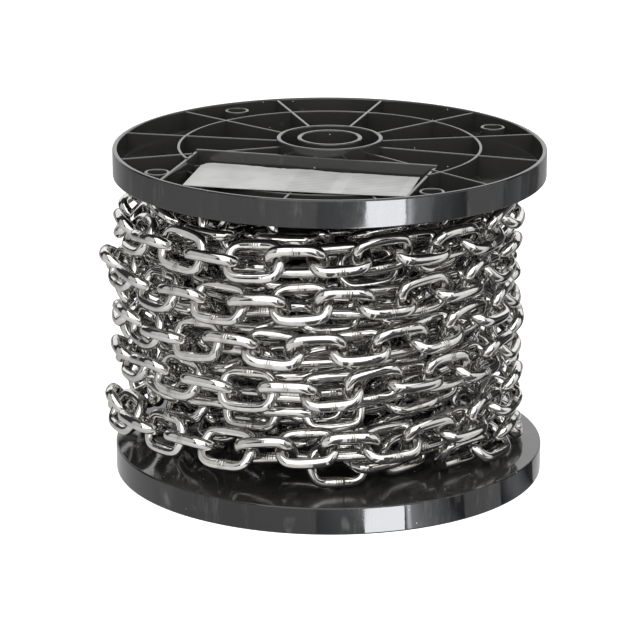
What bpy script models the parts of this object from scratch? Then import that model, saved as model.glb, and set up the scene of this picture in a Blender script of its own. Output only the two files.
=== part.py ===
"""A reel of steel chain, standing on its bottom flange.

Welded steel chain is wound on a black moulded plastic reel: two ribbed flanges on a
hollow drum, with a label card lying in a pocket of the top flange. The outer layer of
chain is modelled link by link, one solid for each turn, and the layers under it are one
plain core. Metres, +Z up, with the origin on the reel's axis at floor level.
"""

import math

import bmesh
import bpy
from mathutils import Matrix, Vector

# The reel: driving dimensions.
FLANGE_RADIUS = 0.13335
REEL_HEIGHT = 0.205
RIM_HEIGHT = 0.017
RIM_WALL = 0.003
WEB = 0.003
RIB = 0.0018
RIB_COUNT = 12
RIB_DROP = 0.0005
CROWN_RISE = 0.0023
MID_RING_RADIUS = 0.695 * FLANGE_RADIUS
HUB_RADIUS = 0.0326
HUB_WALL = 0.0026
HUB_RISE = 0.0054
BORE_RADIUS = 0.0172
SPINDLE_RING_RADIUS = 0.020
SPIGOT = 0.002
BOSS_RADIUS = 0.0078
BOSS_WALL = 0.002
BOSS_CIRCLE = 0.119
BOSS_DROP = 0.002
BOSS_FIRST_ANGLE = math.radians(30)
DRUM_RADIUS = 0.045
DRUM_WALL = 0.003
DRUM_STEPS = 48
FLANGE_STEPS = 72
MID_RING_STEPS = 48
RING_STEPS = 32
BOSS_STEPS = 12

# The pocket in the top flange, and the label card on its lowered ribs.
POCKET_ANGLE = math.radians(-105)
POCKET_HALF_WIDTH = 0.0745
POCKET_BACK = 0.0334
POCKET_SIDE_END = 0.1085
POCKET_WALL = 0.002
POCKET_DEPTH = 0.0072
LABEL_SIZE = (0.138, 0.055)
LABEL_THICKNESS = 0.0004
LABEL_BACK_GAP = 0.0015

# The chain: 7 mm wire, links 25.4 mm long inside.
WIRE = 0.007
LINK_PITCH = 0.0254
LINK_LENGTH = LINK_PITCH + 2 * WIRE
LINK_WIDTH = 0.028
LINK_CORNER = 0.006
WIRE_RIDGE = 0.0042
TURNS = 5
LINKS_PER_TURN = 29
WINDING_RADIUS = LINK_PITCH / (2 * math.sin(math.pi / LINKS_PER_TURN))
WINDING_START = math.radians(90)
WINDING_LOWEST = 0.0305
WINDING_HIGHEST = 0.1730
SLACK_JOINT = 0.0019
# The winding sits off the reel's axis: to the left all the way up, most at mid height,
# and to the back at the bottom.
WINDING_SHIFT = -0.0070
WINDING_LEAN = -0.0020
WINDING_BACK = 0.0020

# How far the winding strays from an even helix, in millimetres: a height chosen by eye
# at every quarter turn, then (amplitude, waves per radian, phase) of smaller waves. The
# second wave of the radius makes the winding 6 mm deeper than it is wide.
STRAY_HEIGHTS = (0, 1, 3, 6, 9, 11, 12, 11, 10, 10, 9, 9, 8, 8, 7, 6, 6, 6, 6, 4, 0)
HEIGHT_WAVES = ((1.2, 4.7, 4.2), (0.8, 9.3, 2.1))
RADIUS_WAVES = ((0.8, 3.1, 4.8), (1.5, 2.0, -1.6))
# How the links' roll drifts along the chain: (degrees, radians per link, phase).
ROLL_WAVES = ((22, 0.43, 3.4), (10, 0.95, 5.1))

# The layers of chain under the outer one, as one plain core.
CORE_LOW_RADIUS = 0.1000
CORE_RADIUS = 0.1007
CORE_CHAMFER = 0.006
CORE_FULL_HEIGHT = 0.075
CORE_SHIFT = Vector((-0.008, 0.001, 0.0))

GAP = 0.0003


def clear_scene():
    """Remove the objects that the file starts with."""
    for obj in list(bpy.data.objects):
        bpy.data.objects.remove(obj, do_unlink=True)


def make_material(name, colour, roughness, metallic=0.0):
    """Return a Principled material of one colour."""
    mat = bpy.data.materials.new(name)
    mat.use_nodes = True
    shader = mat.node_tree.nodes["Principled BSDF"]
    shader.inputs["Base Color"].default_value = (*colour, 1.0)
    shader.inputs["Roughness"].default_value = roughness
    shader.inputs["Metallic"].default_value = metallic
    mat.diffuse_color = (*colour, 1.0)
    return mat


def add_object(name, bm, mat=None, transform=None):
    """Turn a bmesh into a named object with outward faces, and free the bmesh."""
    bmesh.ops.recalc_face_normals(bm, faces=bm.faces)
    if transform is not None:
        bm.transform(transform)
    mesh = bpy.data.meshes.new(name)
    bm.to_mesh(mesh)
    bm.free()
    if mat is not None:
        mesh.materials.append(mat)
    obj = bpy.data.objects.new(name, mesh)
    bpy.context.scene.collection.objects.link(obj)
    return obj


def shade(obj, angle=math.radians(40)):
    """Shade an object smooth, with its hard edges kept sharp."""
    obj.data.shade_smooth()
    obj.data.set_sharp_from_angle(angle=angle)


def combine(target, tools, operation):
    """Join tool objects to the target, or cut them from it, with one Boolean.

    The tools are parented to the target, so that they move with it.
    """
    group = bpy.data.collections.new(f"{target.name}_{operation.lower()}")
    bpy.context.scene.collection.children.link(group)
    for tool in tools:
        bpy.context.scene.collection.objects.unlink(tool)
        group.objects.link(tool)
        tool.parent = target
        tool.hide_render = True
        tool.display_type = "WIRE"
    modifier = target.modifiers.new(operation.title(), "BOOLEAN")
    modifier.operation = operation
    modifier.solver = "EXACT"
    modifier.operand_type = "COLLECTION"
    modifier.collection = group


def turned(name, profile, steps, mat=None, transform=None):
    """Spin a closed outline of (radius, height) points round the Z axis."""
    bm = bmesh.new()
    verts = [bm.verts.new((radius, 0.0, height)) for radius, height in profile]
    edges = [bm.edges.new((a, b)) for a, b in zip(verts, verts[1:] + verts[:1])]
    bmesh.ops.spin(
        bm, geom=verts + edges, cent=(0, 0, 0), axis=(0, 0, 1), dvec=(0, 0, 0),
        angle=2 * math.pi, steps=steps, use_merge=True,
    )
    return add_object(name, bm, mat, transform)


def ring(name, outer, wall, low, high, steps, place=None):
    """A plain tube section, for a hub, a boss or a rib that runs round."""
    profile = [(outer - wall, low), (outer, low), (outer, high), (outer - wall, high)]
    return turned(name, profile, steps, transform=place)


def block(name, low, high, turn=0.0):
    """A box between two corners, turned about the Z axis."""
    bm = bmesh.new()
    bmesh.ops.create_cube(bm, size=1.0)
    size = Vector(high) - Vector(low)
    centre = (Vector(high) + Vector(low)) / 2
    bmesh.ops.scale(bm, vec=size, verts=bm.verts)
    bmesh.ops.translate(bm, vec=centre, verts=bm.verts)
    return add_object(name, bm, transform=Matrix.Rotation(turn, 4, "Z"))


def rib(name, angle, crown):
    """One radial rib, its top edge rising from the rim to the hub by the crown."""
    inner = HUB_RADIUS - HUB_WALL / 2
    outer = FLANGE_RADIUS - RIM_WALL / 2
    outline = [
        (inner, WEB / 2), (outer, WEB / 2),
        (outer, rib_top(outer, crown)), (inner, rib_top(inner, crown)),
    ]
    bm = bmesh.new()
    verts = [bm.verts.new((radius, -RIB / 2, height)) for radius, height in outline]
    face = bm.faces.new(verts)
    extruded = bmesh.ops.extrude_face_region(bm, geom=[face])["geom"]
    moved = [item for item in extruded if isinstance(item, bmesh.types.BMVert)]
    bmesh.ops.translate(bm, vec=(0, RIB, 0), verts=moved)
    return add_object(name, bm, transform=Matrix.Rotation(angle, 4, "Z"))


def rib_top(radius, crown):
    """Height of the rib tops above the flange's chain side, at a radius."""
    return RIM_HEIGHT - RIB_DROP + crown * (1 - radius / FLANGE_RADIUS)


def rib_frame(name, crown, has_pocket):
    """The ribs and the ring that joins them, lowered where the label pocket lies."""
    middle = rib_top(MID_RING_RADIUS, crown)
    frame = ring(f"{name}_mid_ring", MID_RING_RADIUS + RIB / 2, RIB, WEB / 2, middle, MID_RING_STEPS)
    step = 2 * math.pi / RIB_COUNT
    combine(frame, [rib(f"{name}_rib_{k}", (k + 0.5) * step, crown) for k in range(RIB_COUNT)], "UNION")
    if has_pocket:
        low = (POCKET_BACK, -POCKET_HALF_WIDTH, RIM_HEIGHT - POCKET_DEPTH)
        high = (FLANGE_RADIUS, POCKET_HALF_WIDTH, 2 * RIM_HEIGHT)
        combine(frame, [block(f"{name}_pocket_space", low, high, POCKET_ANGLE)], "DIFFERENCE")
    frame.hide_render = True
    frame.display_type = "WIRE"
    return frame


def pocket_walls(name):
    """The three walls of the label pocket: one past the hub and two out to the rim."""
    half = POCKET_WALL / 2
    top = RIM_HEIGHT - RIB_DROP
    walls = [
        block(
            f"{name}_pocket_back",
            (POCKET_BACK - half, -POCKET_HALF_WIDTH - half, WEB / 2),
            (POCKET_BACK + half, POCKET_HALF_WIDTH + half, top + CROWN_RISE / 2),
            POCKET_ANGLE,
        )
    ]
    for side in (-1, 1):
        centre = side * POCKET_HALF_WIDTH
        walls.append(
            block(
                f"{name}_pocket_side_{'left' if side < 0 else 'right'}",
                (POCKET_BACK - half / 2, centre - half, WEB / 3),
                (POCKET_SIDE_END, centre + half, top + RIB_DROP / 2),
                POCKET_ANGLE,
            )
        )
    return walls


def make_flange(name, mat, place, hub_height, crown, has_pocket):
    """One moulded flange: web, rim, hub, spindle ring, ribs, bosses and pocket.

    It is drawn with its chain side on the plane z = 0 and its ribbed side up.
    """
    inner = (BORE_RADIUS + SPINDLE_RING_RADIUS) / 2
    profile = [
        (inner, 0.0), (FLANGE_RADIUS, 0.0), (FLANGE_RADIUS, RIM_HEIGHT),
        (FLANGE_RADIUS - RIM_WALL, RIM_HEIGHT), (FLANGE_RADIUS - RIM_WALL, WEB), (inner, WEB),
    ]
    flange = turned(name, profile, FLANGE_STEPS, mat)
    spindle_wall = SPINDLE_RING_RADIUS - BORE_RADIUS
    pieces = [
        ring(f"{name}_spindle_ring", SPINDLE_RING_RADIUS, spindle_wall, -SPIGOT, hub_height, RING_STEPS),
        ring(f"{name}_hub_ring", HUB_RADIUS, HUB_WALL, WEB / 2, hub_height, RING_STEPS),
        rib_frame(f"{name}_ribs", crown, has_pocket),
    ]
    for k in range(4):
        angle = BOSS_FIRST_ANGLE + k * math.pi / 2
        centre = Matrix.Rotation(angle, 4, "Z") @ Matrix.Translation((BOSS_CIRCLE, 0, 0))
        top = RIM_HEIGHT - BOSS_DROP
        pieces.append(ring(f"{name}_boss_{k}", BOSS_RADIUS, BOSS_WALL, WEB / 2, top, BOSS_STEPS, centre))
    if has_pocket:
        pieces += pocket_walls(name)
    combine(flange, pieces, "UNION")
    flange.matrix_world = place
    shade(flange)


def make_drum(mat):
    """The hollow drum that joins the flanges, under the chain."""
    low = RIM_HEIGHT + GAP
    high = REEL_HEIGHT - RIM_HEIGHT - GAP
    inner = DRUM_RADIUS - DRUM_WALL
    profile = [(inner, low), (DRUM_RADIUS, low), (DRUM_RADIUS, high), (inner, high)]
    shade(turned("drum", profile, DRUM_STEPS, mat))


def make_label(mat):
    """The card that lies on the pocket's lowered ribs."""
    length, depth = LABEL_SIZE
    low_z = REEL_HEIGHT - POCKET_DEPTH + GAP
    back = POCKET_BACK + POCKET_WALL / 2 + LABEL_BACK_GAP
    label = block(
        "label_card", (back, -length / 2, low_z), (back + depth, length / 2, low_z + LABEL_THICKNESS), POCKET_ANGLE
    )
    label.data.materials.append(mat)


def make_core(mat):
    """The inner layers of chain as one plain ring on the drum, off centre like the winding."""
    inner = DRUM_RADIUS + GAP
    low = RIM_HEIGHT + GAP
    high = REEL_HEIGHT - RIM_HEIGHT - GAP
    profile = [
        (inner, low), (CORE_LOW_RADIUS - CORE_CHAMFER, low), (CORE_LOW_RADIUS, low + CORE_CHAMFER),
        (CORE_RADIUS, CORE_FULL_HEIGHT), (CORE_RADIUS, high - CORE_CHAMFER),
        (CORE_RADIUS - CORE_CHAMFER, high), (inner, high),
    ]
    core = turned("inner_windings", profile, DRUM_STEPS, mat)
    halfway = (DRUM_RADIUS + CORE_RADIUS) / 2
    for vert in core.data.vertices:
        if math.hypot(vert.co.x, vert.co.y) > halfway:
            vert.co += CORE_SHIFT
    shade(core)


def smooth_value(values, place):
    """A value on the smooth curve through evenly spaced values."""
    last = len(values) - 1
    index = min(int(place), last - 1)
    part = min(place - index, 1.0)
    before, here, after, beyond = (values[min(max(index + k, 0), last)] for k in (-1, 0, 1, 2))
    curve = 2 * before - 5 * here + 4 * after - beyond
    return here + 0.5 * part * (after - before + part * (curve + part * (3 * (here - after) + beyond - before)))


def wave(amplitude, rate, phase, place):
    """One wave of a winding's wander."""
    return amplitude * math.sin(rate * place + phase)


def winding_point(turn):
    """Centre line of the outer layer, as a point for a number of turns from its start."""
    angle = WINDING_START + 2 * math.pi * turn
    rise = turn / TURNS
    height = WINDING_LOWEST + (WINDING_HIGHEST - WINDING_LOWEST) * rise
    stray = smooth_value(STRAY_HEIGHTS, 4 * turn) + sum(wave(*terms, angle) for terms in HEIGHT_WAVES)
    radius = WINDING_RADIUS + sum(wave(*terms, angle) for terms in RADIUS_WAVES) / 1000
    side = WINDING_SHIFT + WINDING_LEAN * math.sin(math.pi * rise)
    back = WINDING_BACK * (1 - rise) ** 2
    return Vector((side + radius * math.cos(angle), back + radius * math.sin(angle), height + stray / 1000))


def joint_points():
    """The points where link meets link, a pitch apart, and the link that starts each turn.

    Each turn but the last ends on a slack joint, so that the next turn's first link
    passes through its last one without touching it.
    """
    turn = 0.0
    points = [winding_point(turn)]
    starts = [0]
    while turn < TURNS:
        closes_turn = turn + 1.5 / LINKS_PER_TURN > len(starts)
        reach = LINK_PITCH - (SLACK_JOINT if closes_turn and len(starts) < TURNS else 0.0)
        step = 1 / LINKS_PER_TURN
        for _ in range(6):
            step *= reach / (winding_point(turn + step) - points[-1]).length
        if turn + step > TURNS:
            break
        turn += step
        points.append(winding_point(turn))
        if closes_turn and len(starts) < TURNS:
            starts.append(len(points) - 1)
    return points, starts


def roll_angle(index):
    """How far a link is rolled about the chain's line: neighbours stand square to each other."""
    drift = sum(wave(*terms, index) for terms in ROLL_WAVES)
    return math.radians(45 + drift + 90 * index)


def link_matrix(start, end, roll):
    """Place of a link that starts at a joint point: X along the chain, Y across the link."""
    along = (end - start).normalized()
    centre = start + along * LINK_PITCH / 2
    outward = Vector((centre.x - CORE_SHIFT.x, centre.y - CORE_SHIFT.y, 0.0))
    outward = (outward - along * outward.dot(along)).normalized()
    across = Matrix.Rotation(roll, 3, along) @ outward
    normal = along.cross(across)
    rotation = Matrix((along, across, normal)).transposed().to_4x4()
    return Matrix.Translation(centre) @ rotation


def add_link(bm, matrix):
    """Add one link: an eight-cornered loop of square wire, on edge."""
    long_half = (LINK_LENGTH - WIRE) / 2
    wide_half = (LINK_WIDTH - WIRE) / 2
    near = (long_half, wide_half - LINK_CORNER)
    far = (long_half - LINK_CORNER, wide_half)
    loop = [near, far, (-far[0], far[1]), (-near[0], near[1])]
    loop += [(-x, -y) for x, y in loop]
    rings = []
    for k, (x, y) in enumerate(loop):
        before = Vector(loop[k - 1])
        after = Vector(loop[(k + 1) % len(loop)])
        here = Vector((x, y))
        inbound = (here - before).normalized()
        outbound = (after - here).normalized()
        tangent = (inbound + outbound).normalized()
        outward = Vector((tangent.y, -tangent.x))
        reach = outward * WIRE_RIDGE / tangent.dot(outbound)
        section = [
            (x + reach.x, y + reach.y, 0.0), (x, y, WIRE_RIDGE),
            (x - reach.x, y - reach.y, 0.0), (x, y, -WIRE_RIDGE),
        ]
        rings.append([bm.verts.new(matrix @ Vector(point)) for point in section])
    for k, here in enumerate(rings):
        there = rings[(k + 1) % len(rings)]
        for i in range(4):
            j = (i + 1) % 4
            bm.faces.new((here[i], here[j], there[j], there[i]))


def make_chain_turn(number, points, first, last, mat):
    """One turn of the outer layer: its links joined into one solid where they bear on each other."""
    halves = []
    for parity in (0, 1):
        bm = bmesh.new()
        for index in range(first + parity, last, 2):
            add_link(bm, link_matrix(points[index], points[index + 1], roll_angle(index)))
        suffix = "" if parity == 0 else "_every_other_link"
        halves.append(add_object(f"chain_turn_{number}{suffix}", bm, mat))
    turn, others = halves
    combine(turn, [others], "UNION")
    shade(turn, math.radians(60))


def main():
    """Build the reel from the floor up, then the chain on it."""
    clear_scene()
    black_plastic = make_material("black_plastic", (0.020, 0.020, 0.022), 0.30)
    steel = make_material("polished_steel", (0.62, 0.61, 0.59), 0.18, 1.0)
    paper = make_material("label_paper", (0.80, 0.80, 0.79), 0.65)

    underside = Matrix.Translation((0, 0, RIM_HEIGHT)) @ Matrix.Rotation(math.pi, 4, "X")
    topside = Matrix.Translation((0, 0, REEL_HEIGHT - RIM_HEIGHT))
    make_flange("bottom_flange", black_plastic, underside, RIM_HEIGHT - RIB_DROP, 0.0, False)
    make_flange("top_flange", black_plastic, topside, RIM_HEIGHT + HUB_RISE, CROWN_RISE, True)
    make_drum(black_plastic)
    make_label(paper)
    make_core(steel)

    points, starts = joint_points()
    ends = starts[1:] + [len(points) - 1]
    for number, (first, last) in enumerate(zip(starts, ends), start=1):
        make_chain_turn(number, points, first, last, steel)


main()
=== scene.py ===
"""Looks of a reel of steel chain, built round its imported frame.

The frame holds the reel's flanges, drum and label card and the chain's turns at their real
size. Here the flanges get their rounded edges and moulding marks, every turn of chain is
made of real links of round wire with weld beads, and the plain core becomes the inner
layers of chain that show between the turns. Metres, +Z up, the reel's axis at the origin.
"""

from __future__ import annotations

import logging
import math
import random
from dataclasses import dataclass, field, replace
from enum import Enum
from typing import Iterable, Sequence, Union

import bmesh
import bpy
from mathutils import Matrix, Vector
from mathutils.kdtree import KDTree

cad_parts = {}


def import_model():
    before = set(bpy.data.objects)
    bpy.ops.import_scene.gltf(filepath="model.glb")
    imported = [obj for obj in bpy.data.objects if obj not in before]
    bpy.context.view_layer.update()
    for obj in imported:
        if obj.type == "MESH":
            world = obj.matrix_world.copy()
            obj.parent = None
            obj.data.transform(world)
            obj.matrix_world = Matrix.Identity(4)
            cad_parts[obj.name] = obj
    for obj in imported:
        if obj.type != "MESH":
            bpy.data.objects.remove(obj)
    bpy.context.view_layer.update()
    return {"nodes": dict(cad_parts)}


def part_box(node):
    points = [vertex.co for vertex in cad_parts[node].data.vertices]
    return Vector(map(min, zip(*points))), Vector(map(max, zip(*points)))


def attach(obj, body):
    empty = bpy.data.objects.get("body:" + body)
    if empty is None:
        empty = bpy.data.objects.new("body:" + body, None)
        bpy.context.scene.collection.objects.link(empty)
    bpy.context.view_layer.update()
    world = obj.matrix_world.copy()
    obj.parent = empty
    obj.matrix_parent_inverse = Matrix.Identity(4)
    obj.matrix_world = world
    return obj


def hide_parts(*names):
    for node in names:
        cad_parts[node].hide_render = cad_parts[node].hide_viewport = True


LOG = logging.getLogger("chain_reel")
MM = 0.001
BODY = "root"
PLACE = "link_place"
TINT = "link_tint"
GLOW = "patch_glow"
FLANGE_RADIUS = 133.35 * MM
RIM_HEIGHT = 17 * MM
REEL_HEIGHT = 205 * MM

BMesh = bmesh.types.BMesh
BMEdges = list[bmesh.types.BMEdge]
Outline = list[tuple[float, float]]
Colour = tuple[float, float, float, float]
Socket = bpy.types.NodeSocket
Value = Union[Socket, float, tuple]
Waves = Sequence[tuple[float, float, float]]

# The outer layer's small waves in height and in radius: millimetres, waves a turn, phase
OUTER_RISES: Waves = ((1.2, 4.7, 4.2), (0.8, 9.3, 2.1))
OUTER_REACHES: Waves = ((0.8, 3.1, 4.8), (1.5, 2.0, -1.6))


class Slot(Enum):
    """The record's material slots."""

    PLASTIC = "black_plastic"
    STEEL = "polished_steel"
    PAPER = "label_paper"


class Tree:
    """A node tree with short calls for adding nodes and linking them."""

    def __init__(self, tree: bpy.types.NodeTree) -> None:
        """Keep the tree to work on."""
        self.tree = tree

    def add(self, kind: str, inputs: dict | None = None, **settings: object) -> bpy.types.Node:
        """Add one node.

        Args:
            kind: The node's type, without its ShaderNode prefix.
            inputs: Socket names or numbers, each with a value or a socket to link from.
            **settings: Properties of the node.

        Returns:
            The new node.
        """
        node = self.tree.nodes.new("ShaderNode" + kind)
        for name, value in settings.items():
            setattr(node, name, value)
        for key, value in (inputs or {}).items():
            self.feed(node.inputs[key], value)
        return node

    def feed(self, target: Socket, value: Value) -> None:
        """Link an output to an input, or give the input a value."""
        if isinstance(value, Socket):
            self.tree.links.new(value, target)
        else:
            target.default_value = value

    def math(self, operation: str, *values: Value) -> Socket:
        """Add a Math node and return its output."""
        return self.add("Math", dict(enumerate(values)), operation=operation).outputs[0]

    def times(self, first: Value, second: Value) -> Socket:
        """Return two values multiplied."""
        return self.math("MULTIPLY", first, second)

    def stretch(self, place: Socket, factors: Value) -> Socket:
        """Return a vector with each of its parts multiplied."""
        return self.add("VectorMath", {0: place, 1: factors}, operation="MULTIPLY").outputs[0]

    def turned(self, place: Socket, angle: float) -> Socket:
        """Return a vector turned about the Z axis."""
        inputs = {"Vector": place, "Angle": angle}
        return self.add("VectorRotate", inputs, rotation_type="Z_AXIS").outputs[0]

    def noise(self, place: Socket, scale: Value, detail: float = 2.0, roughness: float = 0.5) -> Socket:
        """Return a noise between 0 and 1.

        Args:
            place: The point that it is read at.
            scale: How many of its waves there are in a metre.
            detail: How many finer noises are added to it.
            roughness: How strong each finer noise is.

        Returns:
            The noise's value.
        """
        inputs = {"Vector": place, "Scale": scale, "Detail": detail, "Roughness": roughness}
        return self.add("TexNoise", inputs).outputs["Fac"]

    def group(self, tree: bpy.types.NodeTree, **inputs: Value) -> bpy.types.NodeOutputs:
        """Add a node group with its inputs, and return its outputs."""
        return self.add("Group", inputs, node_tree=tree).outputs

    def ramp(self, factor: Socket, low: float, high: float) -> Socket:
        """Return a factor stretched so that low becomes 0 and high becomes 1, eased at both ends."""
        inputs = {"Value": factor, "From Min": low, "From Max": high}
        return self.add("MapRange", inputs, interpolation_type="SMOOTHSTEP").outputs[0]

    def between(self, factor: Socket, low: float, high: float) -> Socket:
        """Return a value that is low where the factor is 0 and high where it is 1."""
        return self.add("MapRange", {"Value": factor, "To Min": low, "To Max": high}).outputs[0]

    def blend(self, factor: Value, first: Value, second: Value) -> Socket:
        """Return a mix of two colours by a factor."""
        return self.add("Mix", {0: factor, 6: first, 7: second}, data_type="RGBA").outputs[2]

    def emboss(self, shader: bpy.types.Node, height: Socket, strength: float, distance: float) -> None:
        """Give a shader bumps of a height."""
        bump = self.add("Bump", {"Height": height, "Strength": strength, "Distance": distance})
        self.feed(shader.inputs["Normal"], bump.outputs[0])


def rgba(red: float, green: float, blue: float) -> Colour:
    """Return an opaque colour."""
    return (red, green, blue, 1.0)


def new_group(name: str, inputs: dict[str, str], outputs: dict[str, str]) -> tuple[Tree, dict, dict]:
    """Start a shader node group.

    Args:
        name: The group's name.
        inputs: Names of its inputs, each with its kind of socket.
        outputs: Names of its outputs, each with its kind of socket.

    Returns:
        The group's tree, its input sockets and its output sockets, by name.
    """
    tree = bpy.data.node_groups.new(name, "ShaderNodeTree")
    for label, kind in inputs.items():
        tree.interface.new_socket(name=label, in_out="INPUT", socket_type="NodeSocket" + kind)
    for label, kind in outputs.items():
        tree.interface.new_socket(name=label, in_out="OUTPUT", socket_type="NodeSocket" + kind)
    entry = tree.nodes.new("NodeGroupInput")
    leave = tree.nodes.new("NodeGroupOutput")
    given = {key: entry.outputs[key] for key in inputs}
    return Tree(tree), given, {key: leave.inputs[key] for key in outputs}


def scratches_group() -> bpy.types.NodeTree:
    """Return a group of fine crossing scratches and the cloudy patches they gather in."""
    kinds = {"Vector": "Vector", "Scale": "Float", "Stretch": "Vector"}
    tree, given, made = new_group("fine_scratches", kinds, {"Scratches": "Float", "Patches": "Float"})
    lines = []
    for turn in (0.35, 1.25, 2.3):
        drawn = tree.stretch(tree.turned(given["Vector"], turn), given["Stretch"])
        lines.append(tree.ramp(tree.noise(drawn, given["Scale"]), 0.665, 0.72))
    crossing = tree.math("MAXIMUM", tree.math("MAXIMUM", lines[0], lines[1]), lines[2])
    cloud = tree.ramp(tree.noise(given["Vector"], 28.0, 4.0, 0.6), 0.42, 0.68)
    tree.feed(made["Scratches"], tree.times(crossing, cloud))
    tree.feed(made["Patches"], cloud)
    return tree.tree


def speckle_group() -> bpy.types.NodeTree:
    """Return a group of small scattered specks, as dust or paper fibres."""
    kinds = {"Vector": "Vector", "Scale": "Float", "Size": "Float", "Share": "Float"}
    tree, given, made = new_group("small_specks", kinds, {"Specks": "Float"})
    cells = tree.add("TexVoronoi", {"Vector": given["Vector"], "Scale": given["Scale"]})
    near = tree.math("LESS_THAN", cells.outputs["Distance"], given["Size"])
    draw = tree.add("SeparateColor", {0: cells.outputs["Color"]}).outputs[0]
    tree.feed(made["Specks"], tree.times(near, tree.math("LESS_THAN", draw, given["Share"])))
    return tree.tree


@dataclass(frozen=True)
class Finishes:
    """The node groups that several finishes share."""

    scratches: bpy.types.NodeTree
    specks: bpy.types.NodeTree

    @classmethod
    def make(cls) -> "Finishes":
        """Build each group once."""
        return cls(scratches=scratches_group(), specks=speckle_group())


def start_material(name: str) -> tuple[bpy.types.Material, Tree, bpy.types.Node]:
    """Make a material and return it with its tree and its Principled shader."""
    material = bpy.data.materials.new(name)
    material.use_nodes = True
    tree = Tree(material.node_tree)
    return material, tree, material.node_tree.nodes["Principled BSDF"]


@dataclass(frozen=True)
class GlossPlastic:
    """Moulded black plastic: glossy and scuffed, with a painted sheen in pale streaks down the rims."""

    deep: Colour = rgba(0.0165, 0.0160, 0.0155)
    pale: Colour = rgba(0.0400, 0.0390, 0.0375)
    rubbed: Colour = rgba(0.12, 0.12, 0.118)
    rubbed_share: float = 0.55
    speck: Colour = rgba(0.42, 0.42, 0.40)
    speck_share: float = 0.8
    outside: Colour = rgba(0.009, 0.0092, 0.0100)
    # Colour of the painted sheen streaked down the rims' outer faces.
    rim_sheen: Colour = rgba(0.080, 0.081, 0.085)
    smooth: float = 0.06
    dull: float = 0.17
    refraction: float = 1.52
    rim_reach: tuple[float, float] = (132.6 * MM, 133.2 * MM)

    def build(self, finishes: Finishes) -> bpy.types.Material:
        """Return the plastic's material."""
        material, tree, shader = start_material("moulded_black_plastic")
        place = tree.add("TexCoord").outputs["Object"]
        scuffs = tree.group(finishes.scratches, Vector=place, Scale=60.0, Stretch=(1.0, 0.05, 0.6))
        dust = tree.group(finishes.specks, Vector=place, Scale=210.0, Size=0.10, Share=0.07)
        flat = tree.stretch(place, (1.0, 1.0, 0.0))
        radius = tree.add("VectorMath", {0: flat}, operation="LENGTH").outputs["Value"]
        rim = tree.ramp(radius, *self.rim_reach)
        # Streaks that lay out the painted sheen on the rims.
        streaks = tree.noise(tree.stretch(place, (1.0, 1.0, 0.18)), 55.0, 7.0, 0.78)
        colour = tree.blend(tree.noise(place, 14.0, 5.0, 0.62), self.deep, self.pale)
        colour = tree.blend(rim, colour, self.outside)
        # The rims' outer faces take a darker base of their own, then pale streaks of painted sheen over
        # it.
        colour = tree.blend(tree.times(rim, tree.ramp(streaks, 0.50, 0.80)), colour, self.rim_sheen)
        colour = tree.blend(tree.times(scuffs["Scratches"], self.rubbed_share), colour, self.rubbed)
        colour = tree.blend(tree.times(dust["Specks"], self.speck_share), colour, self.speck)
        tree.feed(shader.inputs["Base Color"], colour)
        tree.feed(shader.inputs["Roughness"], tree.between(scuffs["Patches"], self.smooth, self.dull))
        shader.inputs["IOR"].default_value = self.refraction
        ripple = tree.noise(place, 90.0, 3.0)
        swell = tree.noise(place, 24.0, 1.0)
        height = tree.math("ADD", ripple, tree.times(swell, 3.0))
        height = tree.math("SUBTRACT", height, tree.times(scuffs["Scratches"], 0.6))
        tree.emboss(shader, height, strength=0.17, distance=0.4 * MM)
        return material


@dataclass(frozen=True)
class PolishedSteel:
    """Bright tumbled steel wire, with drawn lines along it and a ground weld on one side."""

    bright: Colour = rgba(0.65, 0.64, 0.615)
    grey: Colour = rgba(0.48, 0.47, 0.448)
    weld: Colour = rgba(0.42, 0.40, 0.37)
    smooth: float = 0.06
    dull: float = 0.20
    weld_half: float = 2.4 * MM

    def build(self, finishes: Finishes) -> bpy.types.Material:
        """Return the wire's material, which follows each link by its own coordinates."""
        material, tree, shader = start_material("polished_chain_steel")
        shader.inputs["Metallic"].default_value = 1.0
        place = tree.add("Attribute", attribute_name=PLACE).outputs["Vector"]
        tint = tree.add("Attribute", attribute_name=TINT).outputs["Fac"]
        shift = tree.add("CombineXYZ", {0: tint, 1: tree.times(tint, 3.7), 2: 0.0}).outputs[0]
        spot = tree.add("VectorMath", {0: place, 1: shift}, operation="ADD").outputs[0]
        cloud = tree.noise(spot, 160.0, 4.0, 0.6)
        parts = tree.add("SeparateXYZ", {0: place}).outputs
        along = tree.math("ABSOLUTE", parts["X"])
        weld = tree.math("SUBTRACT", 1.0, tree.ramp(along, self.weld_half * 0.7, self.weld_half))
        weld = tree.times(weld, tree.math("GREATER_THAN", parts["Y"], 0.0))
        drawn = tree.group(finishes.scratches, Vector=spot, Scale=520.0, Stretch=(0.12, 1.0, 1.0))
        shade = tree.math("ADD", tree.times(cloud, 0.8), tree.times(tint, 0.35))
        colour = tree.blend(tree.ramp(shade, 0.25, 0.95), self.bright, self.grey)
        colour = tree.blend(tree.times(weld, 0.55), colour, self.weld)
        tree.feed(shader.inputs["Base Color"], colour)
        dulled = tree.math("MAXIMUM", tree.times(weld, 0.6), tree.times(drawn["Scratches"], 0.8))
        dulled = tree.math("MAXIMUM", dulled, tree.times(tree.ramp(cloud, 0.4, 0.75), 0.45))
        tree.feed(shader.inputs["Roughness"], tree.between(dulled, self.smooth, self.dull))
        ridges = tree.add("TexWave", {"Vector": place, "Scale": 210.0}, bands_direction="X").outputs["Fac"]
        height = tree.math("ADD", tree.noise(spot, 300.0), tree.times(tree.times(ridges, weld), 2.6))
        height = tree.math("SUBTRACT", height, tree.times(drawn["Scratches"], 0.15))
        tree.emboss(shader, height, strength=0.22, distance=0.25 * MM)
        return material


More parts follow.
